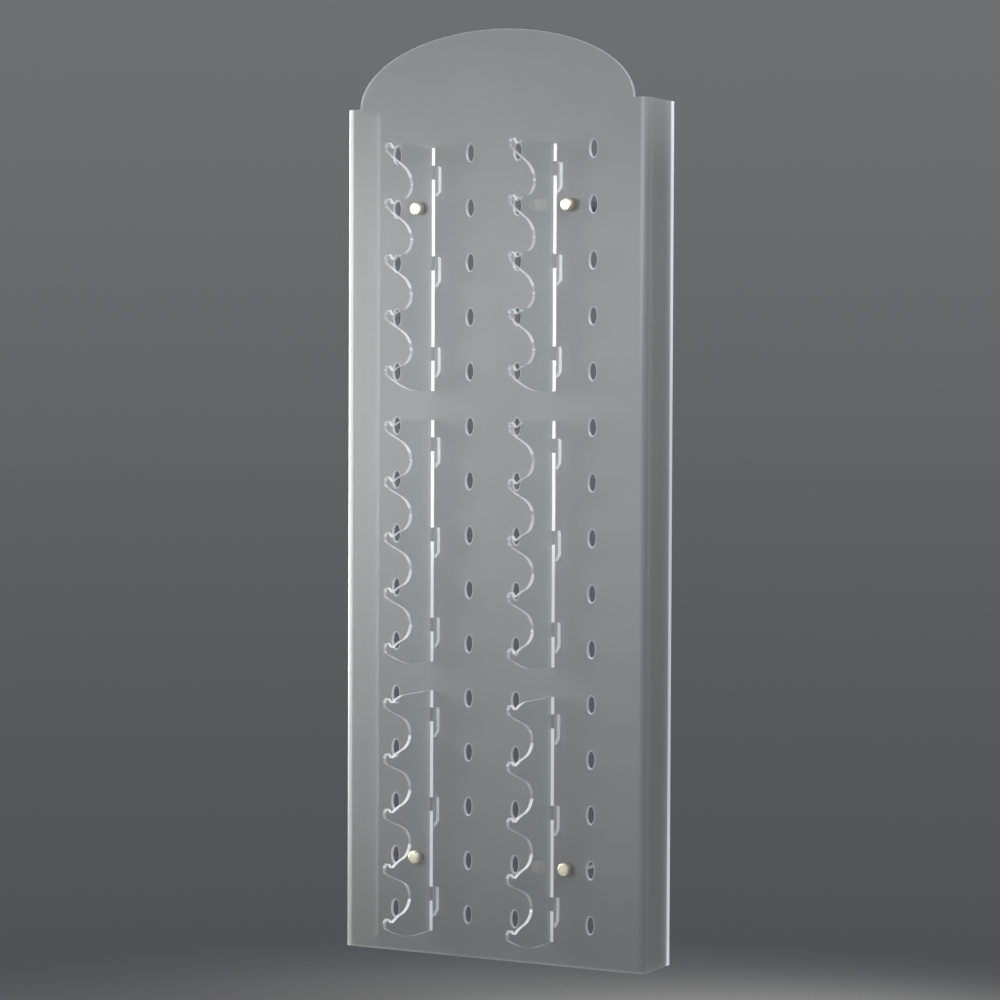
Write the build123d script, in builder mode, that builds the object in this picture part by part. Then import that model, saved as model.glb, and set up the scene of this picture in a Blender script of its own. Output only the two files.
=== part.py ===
from build123d import *
import os

# Wall display for spectacles: one frosted acrylic sheet with an arched head and
# heat-bent side returns, six clear hook strips hung in its slots, and four
# standoffs that carry it off the wall.
#
# Frame: millimetres. The origin is the middle of the four wall fixings, on the
# wall plane (y = 0). +X is to the right for a person facing the display, +Y
# points into the wall and +Z is up.

os.makedirs("parts", exist_ok=True)

# ---------------------------------------------------------------- layout
DEPTH = 86.0                # wall plane to the panel's front face
SHEET = 6.0                 # acrylic sheet thickness
Y_FRONT = -DEPTH            # the panel's front and back faces
Y_BACK = Y_FRONT + SHEET

HOOKS = 5                   # hooks on one strip
ROWS = 3 * HOOKS
ROW_PITCH = 78.0
COLUMN_X = 98.0             # distance of each hook column from the centre line
COLUMNS = {"left": -COLUMN_X, "right": COLUMN_X}
FIRST_ROWS = {"top": 1, "middle": 1 + HOOKS, "bottom": 1 + 2 * HOOKS}

FIXING_X = 121.0            # distance of the standoffs from the centre line
FIXING_ROWS = {"top": 2, "bottom": ROWS - 1}


def row_z(row):
    """Height of a row of temple holes. The middle row is at zero."""
    return ((ROWS + 1) / 2 - row) * ROW_PITCH


FIXINGS = {
    f"{level}_{side}": (x, row_z(row))
    for level, row in FIXING_ROWS.items()
    for side, x in (("left", -FIXING_X), ("right", FIXING_X))
}

# ---------------------------------------------------------------- hanging tabs
# Hooked tabs on a strip's back edge: a neck through the slot and a finger that
# hangs behind the sheet.
STRIP_T = 5.0
STRIP_TOP = 8.5             # strip's top edge above its first row
TABS = 3                    # tabs on one strip
TAB_FIRST = 25.0            # strip's top edge to the top of the first neck
TAB_PITCH = 130.0
NECK_H = 20.0
NECK_ROUND = 4.5            # radius of the neck's upper rear corner
FINGER_GAP = 0.25           # finger to the panel's back face
FINGER_BACK = 18.5          # finger's rear face, behind the panel's front face
FINGER_DROP = 24.0          # finger's lowest point below the neck
FINGER_TAPER = 8.5          # rise of the finger's lower edge towards the rear

LIFT = FINGER_DROP + 0.3    # travel that brings the fingers level with the slots
SLOT_SIDE = 0.2             # clearance beside a neck
SLOT_SEAT = 0.1             # clearance under a neck
SLOT_HEAD = 0.4             # clearance above a lifted neck
SLOT_H = NECK_H + LIFT + SLOT_SEAT + SLOT_HEAD
SLOT_CORNER = 0.15


def neck_tops(first_row):
    """Heights of the tops of a strip's necks."""
    first = row_z(first_row) + STRIP_TOP - TAB_FIRST
    return [first - n * TAB_PITCH for n in range(TABS)]


def save(part, name):
    part.label = name
    export_step(part, f"parts/{name}.step")


# ---------------------------------------------------------------- front panel
PANEL_WIDTH = 484.0
BEND_R = 8.0                # outer radius of the two heat bends
SHOULDER_Z = row_z(1) + 68.5    # flat shoulders either side of the arch
BOTTOM_Z = row_z(ROWS) - 61.5
CUT_OVERRUN = 40.0          # how far the channel's cut-out runs past the wall plane
ARCH_HALF = 220.0           # half width of the arched head
ARCH_RISE = 105.0
ARCH_OVERLAP = 10.0         # head's lap into the web below the shoulders
EDGE_EASE = 0.6             # polished break along the arch and the return edges
TEMPLE_SPACING = 120.0      # between the two holes of one pair of glasses
TEMPLE_HOLE = (10.5, 24.0)  # width and height of the oval at mid-thickness
HOLE_EASE = 1.8             # polished countersink round the oval, front and back
PANEL_HOLE_D = 10.6         # clearance for a standoff's stud


def front_panel():
    """Bent sheet with its arched head, temple holes, slots and stud holes."""
    temple_points = [
        (column + side * TEMPLE_SPACING / 2, row_z(row))
        for column in COLUMNS.values()
        for side in (-1, 1)
        for row in range(1, ROWS + 1)
    ]
    slot_points = [
        (column, neck - NECK_H - SLOT_SEAT + SLOT_H / 2)
        for column in COLUMNS.values()
        for first_row in FIRST_ROWS.values()
        for neck in neck_tops(first_row)
    ]
    with BuildPart() as panel:
        # channel section: the front web and the two returns
        with BuildSketch(Plane.XY.offset(BOTTOM_Z)) as channel:
            with Locations((0, -DEPTH / 2)):
                Rectangle(PANEL_WIDTH, DEPTH)
            fillet(channel.vertices().group_by(Axis.Y)[0], BEND_R)
            reach = DEPTH - SHEET + CUT_OVERRUN
            with Locations((0, Y_BACK + reach / 2)):
                RectangleRounded(
                    PANEL_WIDTH - 2 * SHEET, reach, BEND_R - SHEET, mode=Mode.SUBTRACT
                )
        extrude(amount=SHOULDER_Z - BOTTOM_Z)
        # arched head, flat in the plane of the web
        with BuildSketch(Plane.XZ.offset(DEPTH)):
            with BuildLine():
                arc = EllipticalCenterArc(
                    (0, SHOULDER_Z), ARCH_HALF, ARCH_RISE, start_angle=0, arc_size=180
                )
                Polyline(
                    arc @ 1,
                    (-ARCH_HALF, SHOULDER_Z - ARCH_OVERLAP),
                    (ARCH_HALF, SHOULDER_Z - ARCH_OVERLAP),
                    arc @ 0,
                )
            make_face()
        extrude(amount=-SHEET)
        # the two long edges of the arch, then the rear edges of the returns
        arch_edges = panel.edges().filter_by(
            lambda e: e.center().Z > SHOULDER_Z + 40 and e.length > 200
        )
        chamfer(arch_edges, EDGE_EASE)
        return_edges = (
            panel.edges().filter_by(Axis.Z).filter_by(lambda e: e.center().Y > -0.01)
        )
        chamfer(return_edges, EDGE_EASE)
        # oval temple holes
        with BuildSketch(Plane.XZ.offset(DEPTH)):
            with Locations(*temple_points):
                Ellipse(TEMPLE_HOLE[0] / 2, TEMPLE_HOLE[1] / 2)
        extrude(amount=-SHEET, mode=Mode.SUBTRACT)
        # slots for the tabs, and clearance holes for the standoffs
        with BuildSketch(Plane.XZ.offset(DEPTH)):
            with Locations(*slot_points):
                RectangleRounded(STRIP_T + 2 * SLOT_SIDE, SLOT_H, SLOT_CORNER)
            with Locations(*FIXINGS.values()):
                Circle(PANEL_HOLE_D / 2)
        extrude(amount=-SHEET, mode=Mode.SUBTRACT)
        # only the ovals' rims are closed edges of this length
        rims = panel.edges().filter_by(lambda e: 50 < e.length < 62 and e.is_closed)
        chamfer(rims, HOLE_EASE)
    return panel.part


save(front_panel(), "front_panel")

# ---------------------------------------------------------------- hook strips
SEAT_GAP = 0.1              # strip's back edge to the panel's front face
STRIP_DROP = 28.0           # strip's bottom edge below its last row
NOTCH_R = 2.0               # rounded bottom of a notch
FOOT_REACH = 44.0           # front end of the strip's straight bottom edge

# Side outline, as (forward of the panel's front face, above the row's hole
# centre). The frame's bridge sits in the notch; the tip in front keeps it there.
NOTCH = (115.0, -0.6)
TOP_ARM = [(70.0, STRIP_TOP), (92.0, 7.4), (103.0, 4.4), NOTCH]
TIP = [(122.0, 4.9), (126.6, 7.4), (131.8, 6.1), (135.9, 1.2), (134.2, -3.6)]
TIP_UNDER = [(128.8, -7.8), (119.0, -11.7), (107.0, -15.9)]
# from under a tip, back round the bay and forward to the notch below
UNDER = TIP_UNDER + [
    (94.0, -20.2), (81.0, -25.4), (71.0, -32.4), (65.0, -40.6), (63.4, -48.6),
    (66.0, -57.0), (73.0, -64.2), (83.0, -68.6), (94.0, -70.9), (103.0, -73.6),
    (NOTCH[0], NOTCH[1] - ROW_PITCH),
]
# from under the lowest tip back to the bottom edge
LAST_UNDER = TIP_UNDER + [(94.0, -20.1), (80.0, -23.9), (FOOT_REACH, -STRIP_DROP)]

# Directions of the outline, as (y, z)
FORWARD = (-1, 0)
BACKWARD = (1, 0)
INTO_NOTCH = (-1, -0.42)
UP_NOTCH_WALL = (NOTCH[0] - TIP[0][0], TIP[0][1] - NOTCH[1])
BACK_UNDER_TIP = (0.9, -0.36)


def at_row(points, row):
    """Turn outline points of a row into (y, z) points."""
    return [(Y_FRONT - forward, row_z(row) + above) for forward, above in points]


def nose_strip(x, first_row):
    """Strip for five pairs, with three hooked tabs on its back edge."""
    back = Y_FRONT - SEAT_GAP
    rows = range(first_row, first_row + HOOKS)
    top = row_z(first_row) + STRIP_TOP
    bottom = row_z(rows[-1]) - STRIP_DROP

    with BuildPart() as strip:
        with BuildSketch(Plane.YZ.offset(x - STRIP_T / 2)):
            with BuildLine():
                arm = at_row(TOP_ARM, first_row)
                Polyline((back, bottom), (back, top), arm[0])
                Spline(*arm, tangents=(FORWARD, INTO_NOTCH))
                for row in rows:
                    last = row == rows[-1]
                    notch, *tip = at_row([NOTCH, *TIP], row)
                    under = at_row(LAST_UNDER if last else UNDER, row)
                    # the front wall of the notch, the rounded tip, the underside
                    Line(notch, tip[0])
                    Spline(*tip, under[0], tangents=(UP_NOTCH_WALL, BACK_UNDER_TIP))
                    Spline(
                        *under,
                        tangents=(BACK_UNDER_TIP, BACKWARD if last else INTO_NOTCH),
                    )
                Line(under[-1], (back, bottom))
            make_face()
            # hooked tabs
            inner = Y_BACK + FINGER_GAP
            rear = Y_FRONT + FINGER_BACK
            for neck in neck_tops(first_row):
                foot = neck - NECK_H
                round_start = (rear - NECK_ROUND, neck)
                round_end = (rear, neck - NECK_ROUND)
                with BuildLine():
                    Polyline(
                        round_end,
                        (rear, foot - FINGER_DROP + FINGER_TAPER),
                        (inner, foot - FINGER_DROP),
                        (inner, foot),
                        (back, foot),
                        (back, neck),
                        round_start,
                    )
                    RadiusArc(round_start, round_end, NECK_ROUND)
                make_face()
        extrude(amount=STRIP_T)
        # rounded bottoms of the notches
        notches = [at_row([NOTCH], row)[0] for row in rows]
        notch_edges = strip.edges().filter_by(Axis.X).filter_by(
            lambda e: any(
                abs(e.center().Y - y) < 0.05 and abs(e.center().Z - z) < 0.05
                for y, z in notches
            )
        )
        fillet(notch_edges, NOTCH_R)
    return strip.part


for side, column in COLUMNS.items():
    for level, first_row in FIRST_ROWS.items():
        save(nose_strip(column, first_row), f"nose_strip_{side}_{level}")

# ---------------------------------------------------------------- standoffs
# Each piece is made once on the Y axis; turned profiles are (radius, y) points.
WASHER_D = 16.5
WASHER_T = 0.8
WASHER_EASE = 0.15
FRONT_WASHER_Y = Y_FRONT - WASHER_T     # front face of the front washer
BARREL_Y = Y_BACK + WASHER_T            # front end of the barrel

CAP_D = 18.0
CAP_H = 11.5                # front washer to the plane the cap's face is set out from
CAP_CROWN = 0.35            # centre of the face, in front of that plane
# rounded front edge: (inside the cap's radius, behind that plane)
CAP_EDGE = [(3.0, -0.2), (0.9, 0.5), (0.0, 2.0)]
CAP_EASE = 0.4              # chamfer at the cap's rear edge
STUD_D = 10.0
STUD_IN_BARREL = 16.0
STUD_EASE = 1.0             # chamfer at the stud's end
# groove round the stud: (depth, behind the barrel's front end)
STUD_GROOVE = [(0.0, -0.2), (0.8, 0.5), (0.8, 1.6), (0.0, 2.4)]

BARREL_D = CAP_D
BARREL_BORE = 10.1
BARREL_BASE = 6.0           # thickness of the base against the wall
BARREL_EASE = 0.5           # chamfers at both ends
SINK_LEDGE = 0.2            # flat between the bore and the countersink
SCREW_HOLE = 5.4

SCREW_D = 5.0
SCREW_OUT = 45.0            # length of screw past the wall plane
HEAD_D = 9.4
HEAD_PROUD = 0.5            # head's face, in front of the barrel's base
HEAD_RIM = 0.6              # straight rim of the head
WAIST_RELIEF = 0.15         # shank's relief where it passes the barrel
WAIST_END = 0.3             # end of the relief, in front of the wall plane
SHANK_END = 12.0            # plain shank past the wall plane
RIDGE_START = 14.0          # thread ridges, past the wall plane
RIDGE_PITCH = 2.2
RIDGE_WIDTH = 1.5
RIDGE_DEPTH = 0.55
RIDGE_STOP = 7.0            # no ridge starts within this length of the point
POINT_L = 5.0
CROSS = (5.2, 1.1)          # length and width of the recess's arms
CROSS_DEPTH = 2.2


def cap():
    """Round cap with its stud."""
    front = FRONT_WASHER_Y - CAP_H
    end = BARREL_Y + STUD_IN_BARREL
    radius, stud = CAP_D / 2, STUD_D / 2
    edge = [(radius - inside, front + behind) for inside, behind in CAP_EDGE]
    groove = [(stud - depth, BARREL_Y + behind) for depth, behind in STUD_GROOVE]
    with BuildPart() as piece:
        with BuildSketch(Plane.XY):
            with BuildLine():
                Polyline((0, end), (0, front - CAP_CROWN), edge[0])
                Spline(*edge, tangents=((1, 0.04), (0, 1)))
                Polyline(
                    edge[-1],
                    (radius, FRONT_WASHER_Y - CAP_EASE),
                    (radius - CAP_EASE, FRONT_WASHER_Y),
                    (stud, FRONT_WASHER_Y),
                    *groove,
                    (stud, end - STUD_EASE),
                    (stud - STUD_EASE, end),
                    (0, end),
                )
            make_face()
        revolve(axis=Axis.Y)
    return piece.part


def washer(front):
    """Flat washer whose front face is at y = front."""
    with BuildPart() as piece:
        with BuildSketch(Plane.XZ.offset(-front)):
            Circle(WASHER_D / 2)
            Circle(PANEL_HOLE_D / 2, mode=Mode.SUBTRACT)
        extrude(amount=-WASHER_T)
        chamfer(piece.edges().filter_by(GeomType.CIRCLE), WASHER_EASE)
    return piece.part


def barrel():
    """Tube from the rear washer to the wall, with a countersunk base."""
    radius, bore, hole = BARREL_D / 2, BARREL_BORE / 2, SCREW_HOLE / 2
    sink = bore - SINK_LEDGE
    with BuildPart() as piece:
        with BuildSketch(Plane.XY):
            with BuildLine():
                Polyline(
                    (bore, BARREL_Y + BARREL_EASE),
                    (bore + BARREL_EASE, BARREL_Y),
                    (radius - BARREL_EASE, BARREL_Y),
                    (radius, BARREL_Y + BARREL_EASE),
                    (radius, -BARREL_EASE),
                    (radius - BARREL_EASE, 0),
                    (hole, 0),
                    (hole, -BARREL_BASE + sink - hole),
                    (sink, -BARREL_BASE),
                    (bore, -BARREL_BASE),
                    (bore, BARREL_Y + BARREL_EASE),
                )
            make_face()
        revolve(axis=Axis.Y)
    return piece.part


def wall_screw():
    """Countersunk screw, driven through the barrel's base into the wall."""
    radius, head = SCREW_D / 2, HEAD_D / 2
    waist = radius - WAIST_RELIEF
    root = radius - RIDGE_DEPTH
    face = -BARREL_BASE - HEAD_PROUD
    ridges = []
    y = RIDGE_START
    while y < SCREW_OUT - RIDGE_STOP:
        ridges += [(root, y), (radius, y + RIDGE_WIDTH / 2), (root, y + RIDGE_WIDTH)]
        y += RIDGE_PITCH
    with BuildPart() as piece:
        with BuildSketch(Plane.XY):
            with BuildLine():
                Polyline(
                    (0, SCREW_OUT),
                    (0, face),
                    (head, face),
                    (head, face + HEAD_RIM),
                    (waist, face + HEAD_RIM + head - waist),
                    (waist, -WAIST_END),
                    (radius, 0),
                    (radius, SHANK_END),
                    *ridges,
                    (root, SCREW_OUT - POINT_L),
                    (0, SCREW_OUT),
                )
            make_face()
        revolve(axis=Axis.Y)
        # cross recess
        with BuildSketch(Plane.XZ.offset(-face)):
            Rectangle(CROSS[0], CROSS[1])
            Rectangle(CROSS[1], CROSS[0])
        extrude(amount=-CROSS_DEPTH, mode=Mode.SUBTRACT)
    return piece.part


standoff = {
    "cap": cap(),
    "front_washer": washer(FRONT_WASHER_Y),
    "rear_washer": washer(Y_BACK),
    "standoff_barrel": barrel(),
    "wall_screw": wall_screw(),
}
for place, (x, z) in FIXINGS.items():
    for name, piece in standoff.items():
        save(piece.moved(Location((x, 0, z))), f"{name}_{place}")
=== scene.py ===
"""Looks for a wall display: a frosted acrylic panel with clear notched strips.

The panel faces -Y and its sides fold back towards +Y. X runs across the display and Z up it.
Clear strips pass through the panel and stand out in front of it, and barrels with brass caps
hold it off the wall. The CAD pieces get node materials; a floor, lights and a camera are added.
Lengths are in metres.
"""

import math

import bpy
from mathutils import Matrix, Vector


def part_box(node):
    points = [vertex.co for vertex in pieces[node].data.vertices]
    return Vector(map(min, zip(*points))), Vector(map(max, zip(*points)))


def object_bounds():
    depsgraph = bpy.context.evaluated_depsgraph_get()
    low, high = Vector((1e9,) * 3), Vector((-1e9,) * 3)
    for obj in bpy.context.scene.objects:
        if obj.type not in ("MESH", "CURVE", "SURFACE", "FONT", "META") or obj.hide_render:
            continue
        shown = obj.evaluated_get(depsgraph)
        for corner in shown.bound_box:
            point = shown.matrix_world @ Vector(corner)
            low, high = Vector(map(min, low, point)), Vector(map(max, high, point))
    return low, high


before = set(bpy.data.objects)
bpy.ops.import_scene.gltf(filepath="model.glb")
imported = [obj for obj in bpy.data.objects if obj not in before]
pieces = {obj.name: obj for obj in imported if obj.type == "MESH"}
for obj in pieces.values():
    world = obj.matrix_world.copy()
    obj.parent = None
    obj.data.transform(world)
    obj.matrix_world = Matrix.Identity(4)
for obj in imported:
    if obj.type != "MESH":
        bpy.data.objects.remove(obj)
cad_low, cad_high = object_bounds()
scene = bpy.context.scene
panel_low, panel_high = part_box("front_panel")


# ------------------------------------------------------------------ node helpers
class Shader:
    """A material or world built by short calls. An input takes a number, a tuple or a socket."""

    def __init__(self, owner, output="ShaderNodeOutputMaterial"):
        self.owner = owner
        owner.use_nodes = True
        self.tree = owner.node_tree
        self.tree.nodes.clear()
        self.out = self.tree.nodes.new(output)
        self.coords = self.add("ShaderNodeTexCoord")
        self.place = self.coords.outputs["Object"]

    def set(self, socket, value):
        if isinstance(value, bpy.types.NodeSocket):
            self.tree.links.new(value, socket)
        elif isinstance(value, tuple):
            # a colour socket also takes an alpha of 1
            socket.default_value = (*value, 1.0)[: len(socket.default_value)]
        else:
            socket.default_value = value

    def add(self, kind, **inputs):
        node = self.tree.nodes.new(kind)
        for name, value in inputs.items():
            self.set(node.inputs[name.replace("_", " ")], value)
        return node

    def bsdf(self, kind, **inputs):
        return self.add("ShaderNodeBsdf" + kind, **inputs).outputs[0]

    def split(self, vector):
        """The x, y and z of a vector."""
        return tuple(self.add("ShaderNodeSeparateXYZ", Vector=vector).outputs)

    def math(self, operation, a, b=0.0, c=0.0, clamp=False):
        node = self.tree.nodes.new("ShaderNodeMath")
        node.operation, node.use_clamp = operation, clamp
        for socket, value in zip(node.inputs, (a, b, c)):
            self.set(socket, value)
        return node.outputs[0]

    def times(self, a, b):
        return self.math("MULTIPLY", a, b)

    def plus(self, a, b, clamp=False):
        return self.math("ADD", a, b, clamp=clamp)

    def minus(self, a, b):
        return self.math("SUBTRACT", a, b)

    def radius(self, a, b):
        """Distance from the origin of two coordinates."""
        return self.math("SQRT", self.plus(self.times(a, a), self.times(b, b)))

    def either(self, *masks):
        """The largest of some masks."""
        top = masks[0]
        for mask in masks[1:]:
            top = self.math("MAXIMUM", top, mask)
        return top

    def step(self, value, off, on):
        """A mask: 0 at off, 1 at on and beyond, smooth between. off may lie above on."""
        turned = off > on
        node = self.add(
            "ShaderNodeMapRange",
            Value=value,
            From_Min=min(off, on),
            From_Max=max(off, on),
            To_Min=1.0 if turned else 0.0,
            To_Max=0.0 if turned else 1.0,
        )
        node.interpolation_type = "SMOOTHSTEP"
        return node.outputs["Result"]

    def band(self, value, start, full, fade, end):
        """A mask that rises from start to full and falls from fade to end."""
        return self.times(
            self.step(value, off=start, on=full), self.step(value, off=end, on=fade)
        )

    def lerp(self, value, low, high):
        """A number from low to high as value goes from 0 to 1."""
        return self.math("MULTIPLY_ADD", value, high - low, low)

    def noise(self, scale, detail=2.0, rough=0.5, distortion=0.0, stretch=None):
        """Noise on the object's own place, which stretch first scales along x, y and z."""
        vector = self.place
        if stretch:
            vector = self.add("ShaderNodeMapping", Vector=vector, Scale=stretch).outputs[0]
        return self.add(
            "ShaderNodeTexNoise",
            Vector=vector,
            Scale=scale,
            Detail=detail,
            Roughness=rough,
            Distortion=distortion,
        ).outputs[0]

    def mix(self, factor, a, b):
        """A colour between a and b."""
        node = self.tree.nodes.new("ShaderNodeMix")
        node.data_type = "RGBA"
        for index, value in ((0, factor), (6, a), (7, b)):
            self.set(node.inputs[index], value)
        return node.outputs[2]

    def wash(self, tint, mask, amount, colour):
        """The tint with some colour laid over it where the mask is."""
        return self.mix(self.times(mask, amount), tint, colour)

    def shade(self, factor, a, b):
        """A surface between a and b."""
        node = self.add("ShaderNodeMixShader")
        for socket, value in zip(node.inputs, (factor, a, b)):
            self.set(socket, value)
        return node.outputs[0]

    def bump(self, height, strength, distance, **normal):
        return self.add(
            "ShaderNodeBump", Strength=strength, Distance=distance, Height=height, **normal
        ).outputs[0]

    def done(self, surface):
        self.set(self.out.inputs["Surface"], surface)
        return self.owner


def material(name):
    return Shader(bpy.data.materials.new(name))


# ------------------------------------------------------------------ materials
# the strips' hooked tabs, close behind the panel in two columns
TAB_COLUMNS = (-0.098, 0.098)
TAB_TOP, TAB_PITCH = 0.5295, 0.130


def tab_mask(m, x, z, facing_y):
    """Where the panel's flat face lies over a hooked tab."""
    drop = m.math("FRACT", m.math("DIVIDE", m.minus(TAB_TOP, z), TAB_PITCH))
    columns = [
        m.band(x, start=left - 0.0030, full=left - 0.0005, fade=left + 0.0125, end=left + 0.0155)
        for left in TAB_COLUMNS
    ]
    rows = m.times(m.step(drop, off=0.357, on=0.338), m.step(z, off=0.540, on=0.530))
    return m.times(m.times(m.either(*columns), rows), m.step(facing_y, off=0.75, on=0.85))


def frosted_acrylic():
    """Satin grey acrylic: lets through some light and a faint view, with bright cut edges,
    painted shade and painted glow.
    """
    m = material("frosted_acrylic")
    low, high = panel_low, panel_high
    x, y, z = m.split(m.place)
    _, normal_y, normal_z = m.split(m.add("ShaderNodeNewGeometry").outputs["True Normal"])
    facing_y, facing_z = (m.math("ABSOLUTE", side) for side in (normal_y, normal_z))
    across = m.math("ABSOLUTE", x)

    # sawn faces: hole walls, the top and bottom edges, and the rear edges of the side returns
    inside = m.step(across, off=high.x - 0.0075, on=high.x - 0.0085)
    holes = m.times(inside, m.step(facing_y, off=0.85, on=0.75))
    cut = m.either(
        m.step(facing_z, off=0.55, on=0.65),
        m.step(y, off=high.y - 0.0009, on=high.y - 0.0006),
        holes,
    )
    # room light falls off from the head of the display to its foot
    height = m.step(z, off=low.z + 0.2, on=high.z - 0.2)
    # painted glow: a lighter colour and emission stand in for light piped through the sheet, in
    # a narrow band beside its free edges
    beside_rear = m.step(y, off=high.y - 0.0118, on=high.y - 0.0088)
    beside_foot = m.times(m.step(z, off=low.z + 0.004, on=low.z + 0.001), 0.22)
    # painted shade: the returns get a darker, bluer colour, as they are seen against the dark
    # gap behind; they also get a little painted glow
    side = m.step(across, off=high.x - 0.0085, on=high.x - 0.0078)
    returns = m.times(side, m.step(y, off=low.y + 0.0040, on=low.y + 0.0080))
    # painted shade and a painted highlight: the front skin at the start of each bend gets a
    # darker colour and a little of the returns' painted glow, and emission on a narrow band of
    # the bend, higher up the display, stands in for the light it catches
    front_skin = m.step(y, off=low.y + 0.0052, on=low.y + 0.0040)
    start = m.times(
        m.times(m.step(across, off=0.2310, on=0.2375), front_skin), m.minus(1.0, returns)
    )
    bend = m.band(across, start=0.2295, full=0.2335, fade=0.2352, end=0.2392)
    bend = m.times(m.times(bend, front_skin), m.step(z, off=0.12, on=0.56))
    # painted shade: the left return faces the brightest part of the room, so its skin gets a
    # darker colour and less painted rear glow to keep it from glaring
    left_face = m.times(returns, m.step(x, off=low.x + 0.0012, on=low.x + 0.0004))
    # the sheet hides things less where they lie close behind it, and a painted glow there stands
    # in for each tab's bright edge seen through it
    near_tab = tab_mask(m, x, z, facing_y)
    # a little less light reaches the two ends of the sheet
    ends = m.either(m.step(z, off=0.42, on=0.60), m.step(z, off=-0.40, on=-0.60))

    cloud = m.noise(scale=3.5, detail=3.0, rough=0.55)
    smear = m.noise(scale=1.0, detail=4.0, rough=0.6, stretch=(7, 7, 2.2))
    grain = m.noise(scale=2600.0, detail=2.0, rough=0.6)
    tint = m.mix(cloud, (0.315, 0.322, 0.335), (0.345, 0.352, 0.362))
    tint = m.mix(m.lerp(grain, low=0.0, high=0.10), tint, (0.50, 0.51, 0.52))
    # painted shade on the returns
    tint = m.wash(tint, returns, amount=0.65, colour=(0.225, 0.232, 0.250))
    # painted shade at the start of each bend
    tint = m.wash(tint, start, amount=0.42, colour=(0.14, 0.145, 0.16))
    tint = m.wash(tint, ends, amount=0.20, colour=(0.10, 0.10, 0.10))
    # painted glow beside the free edges
    tint = m.mix(m.either(beside_rear, beside_foot), tint, (0.86, 0.87, 0.89))
    # hole walls take less of the bright cut colour
    tint = m.mix(m.minus(cut, m.times(holes, 0.35)), tint, (0.80, 0.82, 0.84))

    # painted glow of each part, emission that stands in for light; the rear band's is strongest
    # at the head, with a little more at the foot
    rear_glow = m.plus(
        m.lerp(m.step(z, off=0.08, on=0.48), low=0.36, high=0.58),
        m.times(m.step(z, off=-0.25, on=-0.50), 0.14),
    )
    rear_glow = m.times(rear_glow, m.lerp(left_face, low=1.0, high=0.4))
    hole_glow = m.times(holes, 0.03)
    side_glow = m.times(
        m.either(m.minus(returns, left_face), m.times(start, 0.4)),
        m.lerp(height, low=0.08, high=0.13),
    )
    bend_glow = m.times(bend, 0.26)
    tab_glow = m.times(near_tab, m.lerp(height, low=0.06, high=0.125))

    wave = m.bump(m.noise(scale=2.2, detail=1.0, rough=0.4), strength=0.10, distance=0.010)
    fine = m.bump(grain, strength=0.16, distance=0.00018, Normal=wave)
    skin = m.bsdf(
        "Principled",
        # painted shade on the left return's outer face
        Base_Color=m.wash(tint, left_face, amount=0.62, colour=(0.06, 0.062, 0.068)),
        # cut edges are smoother
        Roughness=m.plus(m.lerp(smear, low=0.36, high=0.50), m.times(cut, -0.22)),
        IOR=1.49,
        Normal=fine,
        Specular_IOR_Level=0.5,
        Emission_Color=(0.96, 0.97, 1.0),
        Emission_Strength=m.plus(
            m.times(beside_rear, rear_glow),
            m.either(hole_glow, side_glow, bend_glow, tab_glow),
        ),
    )
    through = m.bsdf("Translucent", Color=m.mix(0.6, tint, (0.74, 0.75, 0.73)), Normal=fine)
    # the returns pass more scattered light, the cut edges less
    share = m.plus(m.lerp(returns, low=0.26, high=0.55), m.times(cut, -0.12))
    body = m.shade(share, skin, through)
    clear = m.bsdf("Transparent", Color=(0.93, 0.94, 0.95))
    # more solid at the edges and returns, less over the tabs
    solid = m.plus(
        m.lerp(cloud, low=0.68, high=0.73),
        m.times(m.either(cut, beside_rear, returns), 0.22),
        clamp=True,
    )
    solid = m.minus(solid, m.times(near_tab, 0.27))
    return m.done(m.shade(solid, clear, body))


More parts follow.
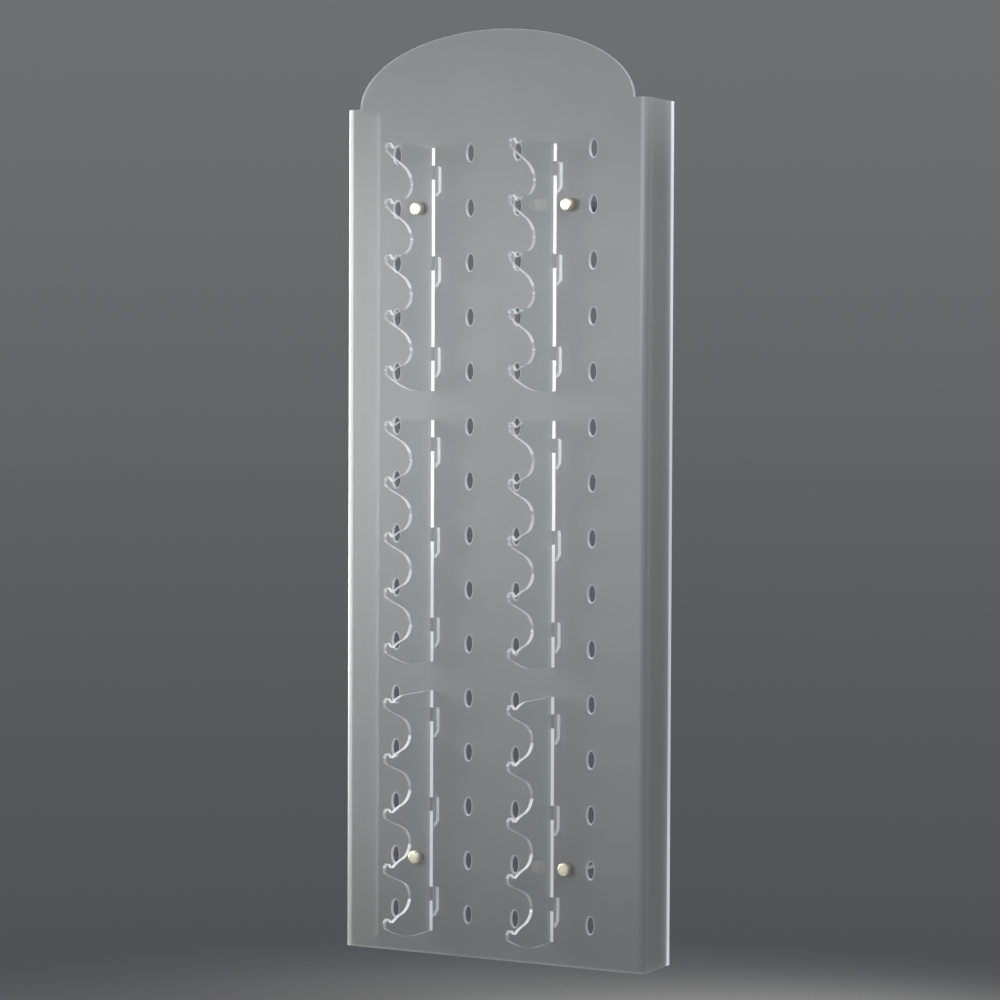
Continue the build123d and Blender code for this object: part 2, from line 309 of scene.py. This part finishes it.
def clear_acrylic():
    """Clear acrylic: see-through faces with a mirror-like skin, and saw-cut edges with painted
    glow and painted highlights.
    """
    m = material("clear_acrylic")
    _, y, z = m.split(m.place)
    geometry = m.add("ShaderNodeNewGeometry")
    within = geometry.outputs["Backfacing"]
    normal = m.split(geometry.outputs["True Normal"])
    # the outward normal, also where a surface is seen from inside
    turn = m.lerp(within, low=1.0, high=-1.0)
    outward_x, outward_y, outward_z = (m.times(side, turn) for side in normal)
    facing_x, facing_y = (m.math("ABSOLUTE", side) for side in normal[:2])

    face = m.step(facing_x, off=0.75, on=0.9)
    sheet = panel_low.y  # the panel's front skin
    # painted glow: the straight back edge and the fingers behind the sheet hold the most light,
    # given as emission
    rear = m.times(
        m.step(facing_y, off=0.8, on=0.95),
        m.band(
            y, start=sheet - 0.0006, full=sheet - 0.0003, fade=sheet + 0.0003, end=sheet + 0.0006
        ),
    )
    # the fingers' rear and sloping lower edges, behind the sheet
    finger = m.times(
        m.step(y, off=sheet + 0.0064, on=sheet + 0.0070), m.step(facing_y, off=0.35, on=0.50)
    )
    # painted highlights: emission on the notched edge, where its upward faces shine low on the
    # display, its downward faces high up, and the front wall of each notch shines everywhere
    height = m.step(z, off=-0.34, on=0.16)
    front = m.step(y, off=sheet - 0.020, on=sheet - 0.030)
    upward = m.step(outward_z, off=0.12, on=0.34)
    downward = m.step(outward_z, off=-0.40, on=-0.62)
    wall = m.times(m.step(outward_y, off=0.25, on=0.45), upward)
    # the rounded tips in front of the notches get weaker painted highlights
    tip = m.step(y, off=sheet - 0.112, on=sheet - 0.128)
    up_shine = m.times(upward, m.lerp(height, low=0.80, high=0.20))
    down_shine = m.times(downward, m.lerp(height, low=0.05, high=0.75))
    glint = m.times(
        front,
        m.either(
            m.times(up_shine, m.lerp(tip, low=1.0, high=0.45)),
            m.times(down_shine, m.lerp(tip, low=1.0, high=0.35)),
            m.times(wall, 0.95),
        ),
    )
    hairline = m.noise(scale=1.0, detail=3.0, rough=0.6, stretch=(60, 1500, 1500))
    smudge = m.noise(scale=22.0, detail=4.0, rough=0.62, distortion=0.4)

    gloss = m.bsdf(
        "Anisotropic",
        Color=(0.96, 0.97, 0.98),
        Roughness=m.lerp(m.step(smudge, off=0.45, on=0.75), low=0.02, high=0.10),
        Normal=m.bump(
            m.noise(scale=9.0, detail=1.0, rough=0.4), strength=0.02, distance=0.002
        ),
    )
    view = m.bsdf("Transparent", Color=(0.965, 0.975, 0.978))
    # a ray leaving the sheet meets the same skin as one entering it
    index = m.lerp(within, low=1.45, high=1 / 1.45)
    fresnel = m.add("ShaderNodeFresnel", IOR=index).outputs[0]
    # smudges reflect a little more
    smudge_shine = m.times(m.step(smudge, off=0.5, on=0.8), 0.018)
    pane = m.shade(m.plus(fresnel, smudge_shine), view, gloss)
    # painted light: where a neck passes through the frosted sheet, emission in the sheet's soft
    # grey, lighter higher up, stands in for the lit sheet around it
    neck = m.band(
        y, start=sheet - 0.0002, full=sheet + 0.0004, fade=sheet + 0.0100, end=sheet + 0.0118
    )
    neck = m.times(neck, m.step(outward_x, off=-0.5, on=-0.8))
    neck_glow_tint = m.mix(height, (0.185, 0.188, 0.196), (0.315, 0.322, 0.330))
    neck_glow = m.add("ShaderNodeEmission", Color=neck_glow_tint, Strength=1.0).outputs[0]
    pane = m.shade(m.times(neck, 0.96), pane, neck_glow)

    # painted glow: a finger lies close behind the frosted sheet, which hardly dims its bright
    # edge, so that edge gets emission.
    # That edge is seen from inside the fin there, and from outside only behind the display
    finger_glow = m.plus(
        m.times(m.minus(1.0, within), 0.35),
        m.times(within, m.lerp(height, low=1.3, high=2.5)),
    )
    edge = m.bsdf(
        "Principled",
        Base_Color=m.mix(hairline, (0.81, 0.83, 0.86), (0.97, 0.98, 1.0)),
        Roughness=m.lerp(hairline, low=0.10, high=0.24),
        IOR=1.49,
        Coat_Weight=0.6,
        Coat_Roughness=0.05,
        Normal=m.bump(hairline, strength=0.10, distance=0.0002),
        Emission_Color=(0.95, 0.97, 1.0),
        Emission_Strength=m.either(
            m.times(rear, m.lerp(height, low=0.24, high=0.0)),
            m.times(finger, finger_glow),
            m.times(glint, 0.30),
        ),
    )
    edge = m.shade(0.35, edge, m.bsdf("Translucent", Color=(0.92, 0.95, 0.96)))
    see = m.bsdf("Transparent", Color=(0.93, 0.95, 0.955))
    # the glowing edges are the most solid
    solid = m.either(
        m.lerp(rear, low=0.27, high=0.94),
        m.times(finger, 0.96),
        m.lerp(glint, low=0.27, high=0.76),
    )
    return m.done(m.shade(face, m.shade(solid, see, edge), pane))


def brass_cap(cap_names):
    """Pale turned brass: fine lathe rings round each cap's axis, and a little tarnish."""
    m = material("brass_cap")
    bright, dark = (0.90, 0.845, 0.69), (0.70, 0.61, 0.42)
    roughness = 0.46
    ring_pitch, side_pitch = 0.00042, 0.00055
    x, y, z = m.split(m.place)

    # distance from the nearest cap's axis
    radial = None
    for name in cap_names:
        low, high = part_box(name)
        reach = m.radius(m.minus(x, (low.x + high.x) / 2), m.minus(z, (low.z + high.z) / 2))
        radial = reach if radial is None else m.math("MINIMUM", radial, reach)
    wobble = m.times(m.noise(scale=180.0, detail=2.0), 0.0001)
    rings = m.math("SINE", m.times(m.plus(radial, wobble), 2 * math.pi / ring_pitch))
    rings = m.lerp(rings, low=0.5, high=1.0)
    along = m.math("SINE", m.times(y, 2 * math.pi / side_pitch))
    # the grooves along the axis are shallower
    lathe = m.plus(rings, m.times(along, 0.35))
    tarnish = m.noise(scale=260.0, detail=4.0, rough=0.65)
    speck = m.step(m.noise(scale=900.0, detail=2.0), off=0.66, on=0.78)
    tint = m.mix(m.step(tarnish, off=0.42, on=0.72), bright, dark)
    return m.done(
        m.bsdf(
            "Principled",
            Base_Color=m.wash(tint, speck, amount=0.35, colour=dark),
            Metallic=1.0,
            Roughness=m.lerp(tarnish, low=roughness - 0.05, high=roughness + 0.12),
            Normal=m.bump(lathe, strength=0.10, distance=0.00006),
        )
    )


def washer_vinyl():
    """Soft clear vinyl washer, a little cloudy."""
    m = material("clear_washer")
    cloud = m.noise(scale=420.0, detail=3.0, rough=0.6)
    tint = m.mix(cloud, (0.62, 0.64, 0.64), (0.80, 0.81, 0.80))
    skin = m.bsdf(
        "Principled",
        Base_Color=tint,
        Roughness=m.lerp(cloud, low=0.38, high=0.58),
        IOR=1.5,
        Normal=m.bump(cloud, strength=0.15, distance=0.0002),
    )
    through = m.bsdf("Translucent", Color=tint)
    clear = m.bsdf("Transparent", Color=(0.94, 0.95, 0.95))
    through_share, solid_share = 0.35, 0.62
    return m.done(m.shade(solid_share, clear, m.shade(through_share, skin, through)))


def satin_barrel():
    """Satin turned aluminium with fine rings along the tube."""
    m = material("satin_barrel")
    fine = m.noise(scale=1.0, detail=3.0, rough=0.6, stretch=(40, 5200, 40))
    broad = m.noise(scale=90.0, detail=2.0)
    tint = m.mix(fine, (0.56, 0.565, 0.57), (0.74, 0.745, 0.75))
    return m.done(
        m.bsdf(
            "Principled",
            Base_Color=m.wash(tint, broad, amount=0.2, colour=(0.48, 0.485, 0.50)),
            Metallic=1.0,
            Roughness=m.lerp(fine, low=0.30, high=0.46),
            Normal=m.bump(fine, strength=0.16, distance=0.00010),
        )
    )


def zinc_screw():
    """Bright zinc plating with a faint yellow and blue cast and tool marks."""
    m = material("zinc_screw")
    cast = m.noise(scale=240.0, detail=3.0, rough=0.6)
    marks = m.noise(scale=1.0, detail=3.0, rough=0.7, stretch=(2200, 300, 2200))
    deep = m.step(marks, off=0.55, on=0.8)
    tint = m.mix(cast, (0.62, 0.64, 0.68), (0.74, 0.71, 0.62))
    return m.done(
        m.bsdf(
            "Principled",
            Base_Color=m.wash(tint, deep, amount=0.45, colour=(0.34, 0.34, 0.35)),
            Metallic=1.0,
            Roughness=m.lerp(marks, low=0.24, high=0.44),
            Normal=m.bump(marks, strength=0.2, distance=0.00008),
        )
    )


# each look goes to the pieces whose names start with its key
looks = {
    "front_panel": frosted_acrylic(),
    "nose_strip": clear_acrylic(),
    "cap": brass_cap([name for name in sorted(pieces) if name.startswith("cap_")]),
    "front_washer": washer_vinyl(),
    "standoff_barrel": satin_barrel(),
    "wall_screw": zinc_screw(),
}
looks["rear_washer"] = looks["front_washer"]
for name, obj in pieces.items():
    look = next(look for prefix, look in looks.items() if name.startswith(prefix))
    obj.data.materials.clear()
    obj.data.materials.append(look)


# ------------------------------------------------------------------ floor
FLOOR_SIDES, FLOOR_RADIUS = 96, 1.8
FLOOR_DROP = 0.28  # below the lowest piece


def floor():
    """A plain pale floor that fades out away from the object."""
    m = material("floor")
    x, y, _ = m.split(m.place)
    speck = m.noise(scale=60.0, detail=3.0)
    matt = m.bsdf("Diffuse", Color=m.mix(speck, (0.58, 0.58, 0.57), (0.62, 0.62, 0.61)))
    fade = m.step(m.radius(x, y), off=1.0, on=1.75)
    m.done(m.shade(fade, matt, m.bsdf("Transparent")))

    angles = [2 * math.pi * k / FLOOR_SIDES for k in range(FLOOR_SIDES)]
    ring = [
        (FLOOR_RADIUS * math.cos(a), FLOOR_RADIUS * math.sin(a), cad_low.z - FLOOR_DROP)
        for a in angles
    ]
    mesh = bpy.data.meshes.new("floor")
    mesh.from_pydata(ring, [], [list(range(FLOOR_SIDES))])
    mesh.materials.append(m.owner)
    obj = bpy.data.objects.new("floor", mesh)
    scene.collection.objects.link(obj)


floor()


# ------------------------------------------------------------------ light
def studio():
    """A plain grey backdrop, a little darker towards the floor."""
    m = Shader(bpy.data.worlds.new("studio"), "ShaderNodeOutputWorld")
    rise = m.split(m.coords.outputs["Generated"])[2]
    tint = m.mix(
        m.step(rise, off=-0.20, on=0.16), (0.082, 0.084, 0.092), (0.160, 0.162, 0.168)
    )
    return m.done(m.add("ShaderNodeBackground", Color=tint, Strength=1.0).outputs[0])


scene.world = studio()


def area(name, at, aim, size, watts, colour=(1, 1, 1), spread=180):
    """A soft rectangular light at a place, facing a point. size is width and height."""
    data = bpy.data.lights.new(name, "AREA")
    data.spread = math.radians(spread)
    data.shape = "RECTANGLE"
    data.size, data.size_y = size
    data.energy, data.color = watts, colour
    obj = bpy.data.objects.new(name, data)
    obj.location = at
    obj.rotation_mode = "QUATERNION"
    obj.rotation_quaternion = (Vector(aim) - Vector(at)).to_track_quat("-Z", "Y")
    scene.collection.objects.link(obj)


area(
    "key", at=(-1.25, -2.1, 0.36), aim=(-0.02, 0, 0.22), size=(1.0, 1.0),
    watts=6.3, colour=(1.0, 0.995, 0.98), spread=62,
)
area(
    "fill", at=(1.2, -3.0, 1.0), aim=(0, 0, 0.2), size=(1.6, 1.6),
    watts=4.5, colour=(0.96, 0.98, 1.0),
)
area(
    "left_rim", at=(-1.3, -0.046, 0.25), aim=(-0.24, -0.044, 0.10), size=(0.07, 1.2),
    watts=27, colour=(1.0, 0.99, 0.94), spread=110,
)
area("top", at=(0.1, -0.8, 2.1), aim=(0, -0.1, 0), size=(1.2, 0.8), watts=4)
area(
    "right_high", at=(1.3, -0.85, 1.15), aim=(0.24, -0.05, 0.35), size=(0.5, 0.9),
    watts=3.6, colour=(0.97, 0.98, 1.0), spread=90,
)

scene.view_settings.view_transform = "Standard"
scene.view_settings.look = "None"


# ------------------------------------------------------------------ camera
# in front and to the right; azimuth turns from -Y towards +X
AZIMUTH, ELEVATION, ROLL = math.radians(28.0), math.radians(1.85), math.radians(0.23)
DISTANCE, LOOK = 4.4781, Vector((-0.01058, -0.04315, 0.0497))
SENSOR_MM, LENS_MM = 36.0, 111.98
CLIP_NEAR, CLIP_FAR = 0.05, 50.0

back = Vector(
    (
        math.sin(AZIMUTH) * math.cos(ELEVATION),
        -math.cos(AZIMUTH) * math.cos(ELEVATION),
        math.sin(ELEVATION),
    )
)
right = Vector((math.cos(AZIMUTH), math.sin(AZIMUTH), 0.0))
up = back.cross(right)
tilted = right * math.cos(ROLL) + up * math.sin(ROLL)
rise = back.cross(tilted)
camera = bpy.data.objects.new("camera", bpy.data.cameras.new("camera"))
camera.data.sensor_width, camera.data.lens = SENSOR_MM, LENS_MM
camera.rotation_mode = "QUATERNION"
camera.location = LOOK + back * DISTANCE
camera.rotation_quaternion = Matrix((tilted, rise, back)).transposed().to_quaternion()
camera.data.clip_start, camera.data.clip_end = CLIP_NEAR, CLIP_FAR
scene.collection.objects.link(camera)
scene.camera = camera
